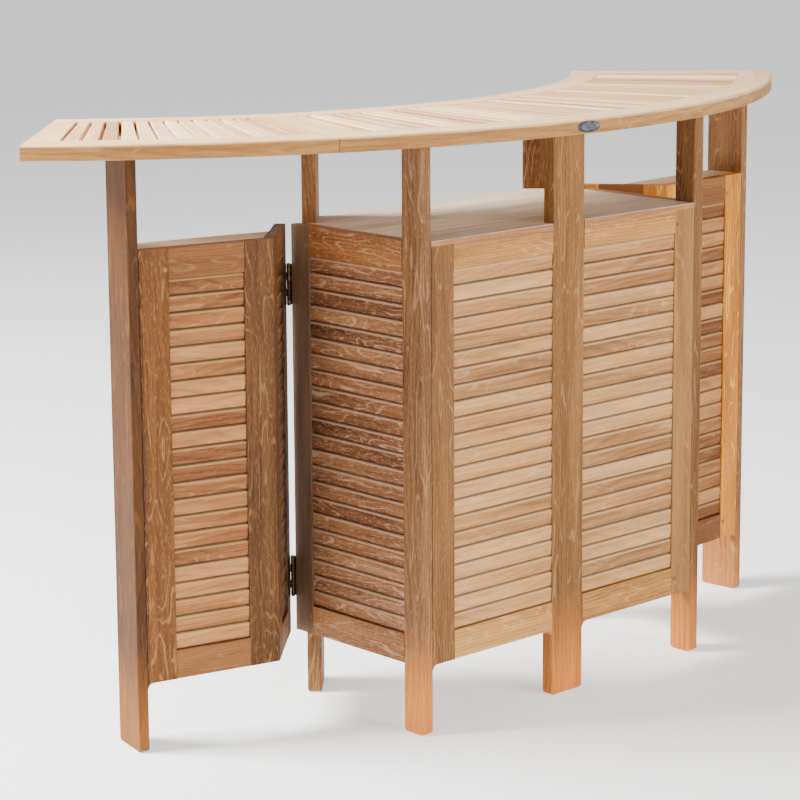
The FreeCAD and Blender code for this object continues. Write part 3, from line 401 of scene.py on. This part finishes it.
# Where the grain runs: gives along, across and deep as one vector, and a number for the board
def layGrain(graph, lay):
    kind = lay["kind"]
    if kind == "board":
        place = graph.node("ShaderNodeAttribute", {"attribute_name": "boardPlace"}, None, 1)
        tone = graph.node("ShaderNodeAttribute", {"attribute_name": "boardTone"}, None, 2)
        return place, tone
    x, y, z = graph.split(graph.objectPlace())
    if kind == "arc" or kind == "radial":
        out = arcMiddle[1] - y
        turn = graph.maths("ARCTAN2", x, out)
        radius = graph.maths("SQRT", x * x + out * out)
        around = turn * layLook["meanRadius"]
        if kind == "arc":
            grain, cell = graph.join(around, radius, z), (1, 2, 3)
        else:
            grain = graph.join(radius, around, z)
            cell = graph.join(graph.maths("FLOOR", turn * layLook["arcCells"] + 0.5), 0.0, 0.0)
    elif kind == "upright":
        angle = math.radians(lay.get("turn", 0))
        grain = graph.join(z, *turned(x, y, angle))
        if "pair" in lay:
            first, second = lay["pair"]
            return grain, graph.maths("GREATER_THAN", x, 0.0) * (second - first) + first
        cell = graph.join(graph.maths("FLOOR", x * lay.get("cellX", 1.0)), 0.0, 0.0)
    elif kind == "kinked":
        sign = sideSign[lay["side"]]
        past = graph.maths("GREATER_THAN", x * sign, kinkPoint(lay["side"])[0] * sign)
        narrow, wide = [turned(x, y, turn) for turn in panelTurns(lay["side"])]
        run, depth = [near * (1 - past) + far * past for near, far in zip(narrow, wide)]
        grain = graph.join(run, z, depth)
        cell = graph.join(past, graph.maths("FLOOR", z * layLook["heightCells"]), 0.0)
    else:
        run, width = (x, y) if kind == "alongX" else (y, x)
        if "courses" in lay:
            grain = graph.join(run, width, z)
            course = graph.maths("FLOOR", (y - frontPlane) / lay["courses"])
            cell = graph.join(course, 0.0, 0.0)
        else:
            grain = graph.join(run, z + width * layLook["slant"], width)
            cell = graph.join(graph.maths("FLOOR", x),
                              graph.maths("FLOOR", z * layLook["heightCells"]), 0.0)
    number = graph.node("ShaderNodeTexWhiteNoise", {"noise_dimensions": "4D"},
                        {"Vector": cell, "W": lay.get("seed", 0.0)})
    return grain, number


def turned(x, y, angle):
    return (x * math.cos(angle) + y * math.sin(angle),
            y * math.cos(angle) - x * math.sin(angle))


def makeTeak(name, look, lay, floorLightShare=0.0):
    graph = Graph(name)
    grain, board = layGrain(graph, lay)
    along, across, deep = graph.split(grain)
    shiftAlong, shiftAcross = [board * reach for reach in grainLook["boardShift"]]

    def stretched(key):
        run, width, detail, rough = grainLook[key]
        place = graph.join(along * run + shiftAlong, across * width + shiftAcross, deep * width)
        return graph.noise(place, 1.0, detail, rough)

    wander = (stretched("wander") - 0.5) * grainLook["wanderReach"]
    curl = (stretched("curl") - 0.5) * grainLook["curlReach"]
    ring = (across + deep * 0.5 + wander + curl) / grainLook["ringWidth"]
    rings = graph.maths("SINE", ring * grainLook["turn"]) * 0.5 + 0.5
    lines = rings * rings * rings
    mottle = {key: stretched(key) - 0.5 for key in grainLook["weights"]}
    level = (board - 0.5) * look["spread"] + 0.5 - (lines - grainLook["lineMean"]) * look["figure"]
    for key, weight in grainLook["weights"].items():
        level = level + mottle[key] * weight
    colour = graph.ramp(level, look)
    # Painted light: faces above the level take the paler look, for the light and sheen on faces
    # that look up
    if "above" in look:
        litFromAbove = graph.smooth(graph.height(), look["level"], look["level"] + look["blend"])
        colour = graph.tint(litFromAbove, colour, graph.ramp(level, teakLooks[look["above"]]))
    hue = graph.node("ShaderNodeTexWhiteNoise", {"noise_dimensions": "1D"},
                     {"W": board * grainLook["hueSpread"]})
    colour = graph.tint(hue * grainLook["warmth"], colour, grainLook["warmTint"], "MULTIPLY")
    pores = graph.smooth(stretched("pores"), *grainLook["poreMask"])
    flecks = graph.smooth(stretched("flecks"), *grainLook["fleckMask"])
    colour = graph.tint(pores * grainLook["poreShare"], colour, grainLook["poreTint"], "MULTIPLY")
    fleckTone = rgba(look["fleck"])
    if look["limed"]:
        figured = stretched("limed") + mottle["smear"] * grainLook["limedSmear"]
        waves = graph.maths("SINE", figured * (grainLook["turn"] * grainLook["limedDensity"]))
        patchy = graph.smooth(stretched("patches"), *grainLook["patchMask"])
        limed = graph.smooth(waves, *grainLook["limedMask"]) * patchy * look["limed"]
        colour = graph.tint(limed, colour, fleckTone)
    colour = graph.tint(flecks * look["flecks"], colour, fleckTone)
    # Painted highlight: a pale band on the louvre's rounded top edge, where light from above
    # catches it
    if "nose" in lay:
        high = graph.smooth(deep, lay["nose"], lay["nose"] + grainLook["noseHighlightBlend"])
        colour = graph.tint(high * grainLook["noseHighlightShare"], colour, fleckTone)
        # Painted shade: a dark band along the lower edge, standing in for the shadowed gap between
        # louvres
        gapShade = graph.smooth(deep, *grainLook["gapShadeBand"]) * grainLook["gapShadeShare"]
        colour = graph.tint(gapShade, colour, grainLook["gapShadeTint"], "MULTIPLY")
    # Painted light: the legs turn warmer and brighter near the floor, standing in for light
    # bounced up from it
    if floorLightShare:
        low = graph.smooth(graph.height(), *grainLook["footBand"], floorLightShare, 0.0)
        colour = graph.tint(low, colour, graph.ramp(level, teakLooks["foot"]))
    graph.feed("Base Color", colour)
    graph.feed("Roughness", graph.smooth(mottle["fibre"], *grainLook["roughness"]))
    relief = grainLook["relief"]
    raised = mottle["fibre"] * relief["fibre"] + lines * relief["lines"]
    graph.bump(raised - pores * relief["pores"], *grainLook["bump"])
    graph.fix("Specular IOR Level", grainLook["specular"])
    return graph.material


metalLook = {
    "patches": (90.0, 4.0, 0.6),
    "scuffs": (700.0, 2.0),
    "wornMask": (0.45, 0.68),
    "scuffRough": 0.3,
    "wornRough": 0.1,
    "bump": (0.3, 0.0002),
}
metalTones = {
    "agedBrass": {"base": (0.045, 0.029, 0.016), "worn": (0.17, 0.115, 0.06), "rough": 0.40},
    "pewter": {"base": (0.11, 0.125, 0.15), "worn": (0.045, 0.05, 0.06), "rough": 0.38},
}


def makeMetal(name):
    tones = metalTones[name]
    graph = Graph(name)
    place = graph.objectPlace()
    patches = graph.noise(place, *metalLook["patches"])
    scuffs = graph.noise(place, *metalLook["scuffs"])
    mask = graph.smooth(patches, *metalLook["wornMask"])
    uneven = (scuffs - 0.5) * metalLook["scuffRough"]
    graph.feed("Base Color", graph.tint(mask, rgba(tones["base"]), rgba(tones["worn"])))
    graph.feed("Roughness", tones["rough"] + uneven + mask * metalLook["wornRough"])
    graph.bump(scuffs, *metalLook["bump"])
    graph.fix("Metallic", 1.0)
    return graph.material


agedBrass = makeMetal("agedBrass")
pewter = makeMetal("pewter")

# Every CAD piece that keeps its own shape gets its finish. Turns are degrees from the x axis.
nodeLook = {
    "turns": {"plugs": 30, "wing": 20, "rearLeg": 45, "rearStile": 90},
    "wingCells": 9.0,
    "shelfCourse": 0.09725,
    "pairs": {"front_stiles": (0.22, 0.95), "front_right_leg": (0.2, 0.2)},
    "tops": ("section_cleats", "cleat_pins", "locating_dowels"),
    "floorLightShare": {  # share of the painted floor-bounce light at the floor
        "front_left_leg": 0.85, "front_right_leg": 0.8, "centre_post": 0.8,
        "left_wing_leg": 0.2, "right_wing_leg": 0.3,
    },
}


# A number for each node's own noise, from its name
def seedOf(node):
    total = sum(ord(letter) * (place + 3) for place, letter in enumerate(node))
    return total % 97 + 0.37


def nodeTeak(node):
    side = node.split("_")[0]
    turns = nodeLook["turns"]
    if node in nodeLook["pairs"]:
        return "stile", {"kind": "upright", "pair": nodeLook["pairs"][node]}
    if "_top_" in node:
        return "rim", {"kind": "arc" if "rail" in node else "radial"}
    if node in nodeLook["tops"]:
        return "side", {"kind": "radial"}
    if node == "shelf_boards":
        return "shelfBoard", {"kind": "alongX", "courses": nodeLook["shelfCourse"]}
    if node in ("shelf_bearers", "front_rails"):
        return "rail", {"kind": "alongX"}
    if node.endswith("wing_ledge"):
        return "ledge", {"kind": "kinked", "side": side}
    if node.endswith("wing_rails"):
        return "wingRail", {"kind": "kinked", "side": side}
    if node.endswith("side_rails"):
        return "sideRail", {"kind": "alongY"}
    if node.endswith("plugs"):
        return "plug", {"kind": "upright", "turn": turns["plugs"]}
    if "_wing_" in node:
        lay = {"kind": "upright", "turn": turns["wing"], "cellX": nodeLook["wingCells"]}
        return wingFinish(node, side), lay
    # Rear legs and stile take darker finishes: partly their own tone, partly painted shade under
    # the top and behind the wing
    if node.startswith("rear_"):
        finish = "kink" if "right" in node else "leg"
        return finish, {"kind": "upright", "turn": turns["rearLeg"]}
    if "rear_stile" in node:
        return "shade", {"kind": "upright", "turn": turns["rearStile"]}
    return "post" if node == "centre_post" else "leg", {"kind": "upright"}


# The right wing takes lighter finishes and the left wing's stiles and leg darker ones: partly the
# boards' own tone, partly painted light and shade
def wingFinish(node, side):
    if side == "right":
        return "leg" if node.endswith("leg") else "amber"
    if "kink" in node or "hinge" in node:
        return "kink"
    return "wingLeg" if node.endswith("leg") else "frame"


def dress(node, material):
    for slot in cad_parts[node].material_slots:
        slot.material = material


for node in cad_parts:
    if "hinge_" in node and "stile" not in node:
        dress(node, agedBrass)
    elif node == "badge_plate":
        dress(node, pewter)
    elif "louvres" not in node and "slats" not in node:
        finish, lay = nodeTeak(node)
        lay["seed"] = seedOf(node)
        floorLightShare = nodeLook["floorLightShare"].get(node, 0.0)
        dress(node, makeTeak("teak_" + node, teakLooks[finish], lay, floorLightShare))
print("CAD pieces finished")


# Geometry node trees for the louvres and the slats
class Maker:
    def __init__(self, name, sizes):
        self.tree = bpy.data.node_groups.new(name, "GeometryNodeTree")
        self.tree.interface.new_socket("Geometry", in_out="OUTPUT",
                                       socket_type="NodeSocketGeometry")
        kinds = {int: "NodeSocketInt", float: "NodeSocketFloat", tuple: "NodeSocketVector"}
        for key, start in sizes.items():
            kind = kinds.get(type(start), "NodeSocketMaterial")
            socket = self.tree.interface.new_socket(key, in_out="INPUT", socket_type=kind)
            if start is not None:
                socket.default_value = start
        self.entry = self.tree.nodes.new("NodeGroupInput")
        self.exit = self.tree.nodes.new("NodeGroupOutput")

    def size(self, key):
        return self.entry.outputs[key]

    def node(self, kind, settings=None, sockets=None, output=0):
        made = self.tree.nodes.new(kind)
        for key, setting in (settings or {}).items():
            setattr(made, key, setting)
        for key, feed in (sockets or {}).items():
            if isinstance(feed, bpy.types.NodeSocket):
                self.tree.links.new(feed, made.inputs[key])
            else:
                made.inputs[key].default_value = feed
        return made.outputs[output]

    def maths(self, operation, first, second=0.0):
        return self.node("ShaderNodeMath", {"operation": operation}, {0: first, 1: second})

    def join(self, **parts):
        places = {"x": 0, "y": 1, "z": 2}
        return self.node("ShaderNodeCombineXYZ", None,
                         {places[axis]: part for axis, part in parts.items()})

    def split(self, vector):
        return [self.node("ShaderNodeSeparateXYZ", None, {0: vector}, part) for part in range(3)]

    def store(self, mesh, name, value, kind, domain):
        return self.node("GeometryNodeStoreNamedAttribute", {"data_type": kind, "domain": domain},
                         {"Geometry": mesh, "Name": name, "Value": value})

    # A number between low and high for each board
    def draw(self, low, high):
        return self.node("FunctionNodeRandomValue", {"data_type": "FLOAT"},
                         {2: low, 3: high, "Seed": self.size("seed")}, 1)

    def cube(self, x, y, z):
        return self.node("GeometryNodeMeshCube", None, {"Size": self.join(x=x, y=y, z=z)})

    # Keeps each board's own coordinates, so that the grain stays in the board
    def markPlace(self, mesh):
        place = self.node("GeometryNodeInputPosition")
        return self.store(mesh, "boardPlace", place, "FLOAT_VECTOR", "POINT")

    # The long edge at the top of the front gets the full rounding and the others a share of it
    def weighNose(self, board):
        parts = self.split(self.node("GeometryNodeInputPosition"))
        frontLimit = self.maths("MULTIPLY", self.size("thickness"), -0.25)
        topLimit = self.maths("MULTIPLY", self.size("height"), 0.25)
        front = self.maths("LESS_THAN", parts[1], frontLimit)
        top = self.maths("GREATER_THAN", parts[2], topLimit)
        nose = self.maths("MULTIPLY", front, top)
        share = self.node("ShaderNodeMapRange", None,
                          {0: nose, 3: self.size("plainShare"), 4: 1.0})
        return self.store(board, "bevel_weight_edge", share, "FLOAT", "EDGE")

    # One board on each point of a line, with a number for its tone, moved to its place
    def close(self, board, step, turn):
        line = self.node("GeometryNodeMeshLine", {"mode": "OFFSET"},
                         {"Count": self.size("count"), "Offset": step})
        boards = self.node("GeometryNodeInstanceOnPoints", None,
                           {"Points": line, "Instance": board, "Rotation": turn})
        boards = self.store(boards, "boardTone", self.draw(0.0, 1.0), "FLOAT", "INSTANCE")
        real = self.node("GeometryNodeRealizeInstances", None, {"Geometry": boards})
        moved = self.node("GeometryNodeTransform", None,
                          {"Geometry": real, "Translation": self.size("place"),
                           "Rotation": self.join(z=self.size("turn"))})
        done = self.node("GeometryNodeSetMaterial", None,
                         {"Geometry": moved, "Material": self.size("finish")})
        self.tree.links.new(done, self.exit.inputs[0])
        return self.tree


def louvreTree(sway):
    maker = Maker("louvreRack", {
        "count": 22, "pitch": 0.03, "length": 0.26, "height": 0.027, "thickness": 0.009,
        "tilt": 0.2, "plainShare": 0.35, "seed": 1, "place": (0.0, 0.0, 0.0), "turn": 0.0,
        "finish": None,
    })
    board = maker.cube(maker.size("length"), maker.size("thickness"), maker.size("height"))
    board = maker.markPlace(maker.weighNose(board))
    lean = maker.maths("ADD", maker.draw(-sway, sway), maker.size("tilt"))
    return maker.close(board, maker.join(z=maker.size("pitch")), maker.join(x=lean))


def slatTree():
    maker = Maker("slatFan", {
        "count": 12, "pitchTurn": 0.0248, "start": 1.044, "end": 1.343, "gap": 0.006,
        "thickness": 0.027, "seed": 1, "place": (0.0, 0.0, 0.0), "turn": 0.0, "finish": None,
    })
    run = maker.maths("SUBTRACT", maker.size("end"), maker.size("start"))
    board = maker.cube(run, 1.0, maker.size("thickness"))
    total = maker.maths("ADD", maker.size("end"), maker.size("start"))
    parts = maker.split(maker.node("GeometryNodeInputPosition"))
    radius = maker.maths("ADD", parts[0], maker.maths("MULTIPLY", total, 0.5))
    half = maker.maths("TANGENT", maker.maths("MULTIPLY", maker.size("pitchTurn"), 0.5))
    room = maker.maths("MULTIPLY", maker.maths("MULTIPLY", radius, half), 2.0)
    width = maker.maths("SUBTRACT", room, maker.size("gap"))
    tapered = maker.join(x=radius, y=maker.maths("MULTIPLY", parts[1], width), z=parts[2])
    board = maker.node("GeometryNodeSetPosition", None, {"Geometry": board, "Position": tapered})
    index = maker.node("GeometryNodeInputIndex")
    turn = maker.join(z=maker.maths("MULTIPLY", index, maker.size("pitchTurn")))
    return maker.close(maker.markPlace(board), (0.0, 0.0, 0.0), turn)


arrisLook = {"segments": 3, "angle": math.radians(50)}


def boardsFromTree(name, tree, sizes, arris):
    holder = bpy.data.objects.new(name + "Holder", bpy.data.meshes.new(name + "Holder"))
    bpy.context.scene.collection.objects.link(holder)
    modifier = holder.modifiers.new("boards", "NODES")
    modifier.node_group = tree
    for item in tree.interface.items_tree:
        if item.in_out == "INPUT" and item.name in sizes:
            modifier[item.identifier] = sizes[item.name]
    bevel = holder.modifiers.new("arris", "BEVEL")
    bevel.width = arris
    bevel.segments = arrisLook["segments"]
    bevel.limit_method = "WEIGHT" if "plainShare" in sizes else "ANGLE"
    bevel.angle_limit = arrisLook["angle"]
    graphNow = bpy.context.evaluated_depsgraph_get()
    mesh = bpy.data.meshes.new_from_object(holder.evaluated_get(graphNow))
    bpy.data.objects.remove(holder)
    piece = bpy.data.objects.new(name, mesh)
    bpy.context.scene.collection.objects.link(piece)
    for face in mesh.polygons:
        face.use_smooth = False
    return piece


louvreLook = {
    "rows": {"cabinet": (0.1835, 0.849), "wing": (0.1786, 0.850)},
    "height": 0.0286,
    "thickness": 0.012,
    "housing": 0.005,
    "recess": 0.002,
    "tilt": math.radians(5),
    "sway": 0.003,
    "count": 22,
    "arris": 0.005,
    "plainShare": 0.18,
    "nose": 0.0098,
    # Lit and shaded copies of one teak, one for each way a panel faces: painted light and shade
    "finishes": {"Light": "louvre", "HalfLit": "wingLouvre", "Shaded": "side", "Shade": "shade"},
}
# Where along its panel each rack starts and ends, and how far its panel's face stands out
louvrePanels = {
    "Front": {"node": "front_%s_louvres", "rows": "cabinet", "span": (0.042, 0.298), "face": 0.0,
              "finish": {"left": "Light", "right": "Light"}, "seed": 11},
    "Side": {"node": "%s_side_louvres", "rows": "cabinet", "span": (0.05, 0.2985), "face": 0.0,
             "finish": {"left": "Shaded", "right": "HalfLit"}, "seed": 21},
    "WingNarrow": {"node": "%s_wing_narrow_louvres", "rows": "wing", "span": (0.0522, 0.1422),
                   "face": kinkPlace["off"], "finish": {"left": "Shade", "right": "Shaded"},
                   "seed": 31},
    "WingWide": {"node": "%s_wing_wide_louvres", "rows": "wing", "span": (0.059134, 0.206),
                 "face": 0.0, "finish": {"left": "HalfLit", "right": "HalfLit"}, "seed": 41},
}


def panelPlace(key, side):
    sign = sideSign[side]
    narrow, wide = panelTurns(side)
    return {
        "Front": ((0, frontPlane), 0.0),
        "Side": ((sign * sideLine, frontPlane), math.radians(90 * sign)),
        "WingNarrow": ((sign * pinPlace[0], pinPlace[1]), narrow),
        "WingWide": (kinkPoint(side), wide),
    }[key]


def addLouvres(key, side, panel, look):
    low, high = look["rows"][panel["rows"]]
    pitch = (high - low) / look["count"]
    origin, turn = panelPlace(key, side)
    start, end = [sideSign[side] * reach for reach in panel["span"]]
    middle = (start + end) / 2
    depth = panel["face"] + look["recess"]
    depth += look["height"] / 2 * math.sin(look["tilt"])
    depth += look["thickness"] / 2 * math.cos(look["tilt"])
    place = (
        origin[0] + middle * math.cos(turn) - depth * math.sin(turn),
        origin[1] + middle * math.sin(turn) + depth * math.cos(turn),
        low + pitch / 2,
    )
    sizes = {
        "count": look["count"], "pitch": pitch, "length": abs(end - start) + 2 * look["housing"],
        "height": look["height"], "thickness": look["thickness"], "tilt": look["tilt"],
        "plainShare": look["plainShare"], "seed": panel["seed"] + sideSign[side],
        "place": place, "turn": turn, "finish": louvreFinish[panel["finish"][side]],
    }
    piece = boardsFromTree(side + key + "Louvres", louvreRack, sizes, look["arris"])
    node = panel["node"] % side
    body = side + "_wing" if panel["rows"] == "wing" else "cabinet"
    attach(piece, body)
    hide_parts(node)


louvreLay = {"kind": "board", "nose": louvreLook["nose"]}
louvreFinish = {word: makeTeak("louvreTeak" + word, teakLooks[finish], louvreLay)
                for word, finish in louvreLook["finishes"].items()}
louvreRack = louvreTree(louvreLook["sway"])
for side in sideSign:
    for key, panel in louvrePanels.items():
        addLouvres(key, side, panel, louvreLook)
print("louvres made")

slatLook = {
    "sections": {"left": (-44.3, -22.15, 12), "centre": (-22.15, 22.15, 27),
                 "right": (22.15, 44.3, 12)},
    "endBoard": 2.55,
    "start": 1.0442,
    "end": 1.3427,
    "gap": 0.006,
    "thickness": 0.027,
    "underside": 1.073,
    "arris": 0.0016,
}
slatFan = slatTree()
slatFinish = makeTeak("slatTeak", teakLooks["top"], {"kind": "board"})


def addSlats(word, first, last, count, look):
    pitch = (last - first - 2 * look["endBoard"]) / count
    begin = first + look["endBoard"] + pitch / 2
    sizes = {
        "count": count, "pitchTurn": math.radians(pitch), "start": look["start"],
        "end": look["end"], "gap": look["gap"], "thickness": look["thickness"],
        "seed": count + len(word), "turn": math.radians(begin - 90), "finish": slatFinish,
        "place": (arcMiddle[0], arcMiddle[1], look["underside"] + look["thickness"] / 2),
    }
    piece = boardsFromTree(word + "TopSlats", slatFan, sizes, look["arris"])
    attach(piece, word + "_top")
    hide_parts(word + "_top_slats")


for word, (first, last, count) in slatLook["sections"].items():
    addSlats(word, first, last, count, slatLook)
print("slats made")


# Oval plate on the rim, blank, with a raised border and a slightly domed field
badgeLook = {
    "turn": -0.8, "rim": 1.414, "length": 0.057, "height": 0.021, "middle": 1.0865, "spokes": 64,
    # Share of the oval and height of each ring. The border keeps its width all round.
    "border": ((1.0, 0.0), (1.0, 0.0011), (0.975, 0.0015), (0.90, 0.0015), (0.87, 0.0009)),
    "field": ((0.6, 0.0011), (0.3, 0.00125)),
    "dome": 0.0013,
}


def addBadge(look):
    mesh = bpy.data.meshes.new("ovalBadge")
    form = bmesh.new()
    halfLength, halfHeight = look["length"] / 2, look["height"] / 2
    rings = []
    for share, rise in look["border"]:
        inset = (1 - share) * halfHeight
        rings.append((halfLength - inset, halfHeight - inset, rise))
    for share, rise in look["field"]:
        rings.append((halfLength * share, halfHeight - (1 - share) * halfHeight, rise))
    rows = []
    for reach, tall, rise in rings:
        turns = [2 * math.pi * spoke / look["spokes"] for spoke in range(look["spokes"])]
        rows.append([form.verts.new(bendToRim(look, reach * math.cos(angle),
                                              tall * math.sin(angle), rise)) for angle in turns])
    for inner, outer in zip(rows[1:], rows[:-1]):
        for spoke in range(look["spokes"]):
            other = (spoke + 1) % look["spokes"]
            form.faces.new((outer[spoke], outer[other], inner[other], inner[spoke]))
    centre = form.verts.new(bendToRim(look, 0, 0, look["dome"]))
    for spoke in range(look["spokes"]):
        form.faces.new((rows[-1][spoke], rows[-1][(spoke + 1) % look["spokes"]], centre))
    form.faces.new(list(reversed(rows[0])))
    bmesh.ops.recalc_face_normals(form, faces=form.faces)
    form.to_mesh(mesh)
    form.free()
    for face in mesh.polygons:
        face.use_smooth = True
    mesh.materials.append(pewter)
    piece = bpy.data.objects.new("ovalBadge", mesh)
    bpy.context.scene.collection.objects.link(piece)
    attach(piece, "centre_top")
    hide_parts("badge_plate")


def bendToRim(look, u, v, rise):
    angle = math.radians(look["turn"]) + u / look["rim"]
    radius = look["rim"] + rise
    return (radius * math.sin(angle), arcMiddle[1] - radius * math.cos(angle), look["middle"] + v)


addBadge(badgeLook)
print("badge made")


# Pale plain floor that sweeps up far behind the object. Each ring has a height and a reach.
floorLook = {
    "rings": ((0.0, 55.0), (0.6, 58.0), (2.4, 60.0), (16.0, 61.0)),
    "spokes": 96,
    "below": 0.0005,
    "colour": (0.84, 0.88, 0.93, 1),
    "roughness": 0.9,
    "glow": (1, 1, 1, 1),
    "glowStrength": 0.68,
}


def addFloor(look):
    mesh = bpy.data.meshes.new("studioFloor")
    spokes = look["spokes"]
    corners = []
    for rise, reach in look["rings"]:
        for spoke in range(spokes):
            turn = 2 * math.pi * spoke / spokes
            corners.append((reach * math.cos(turn), reach * math.sin(turn), rise - look["below"]))
    faces = [tuple(range(spokes))]
    for row in range(len(look["rings"]) - 1):
        here, there = row * spokes, (row + 1) * spokes
        for spoke in range(spokes):
            other = (spoke + 1) % spokes
            faces.append((here + other, here + spoke, there + spoke, there + other))
    mesh.from_pydata(corners, [], faces)
    floor = bpy.data.objects.new("studioFloor", mesh)
    bpy.context.scene.collection.objects.link(floor)
    graph = Graph("paleFloor")
    graph.fix("Base Color", look["colour"])
    graph.fix("Roughness", look["roughness"])
    graph.fix("Emission Color", look["glow"])
    graph.fix("Emission Strength", look["glowStrength"])
    mesh.materials.append(graph.material)


addFloor(floorLook)
print("floor made")
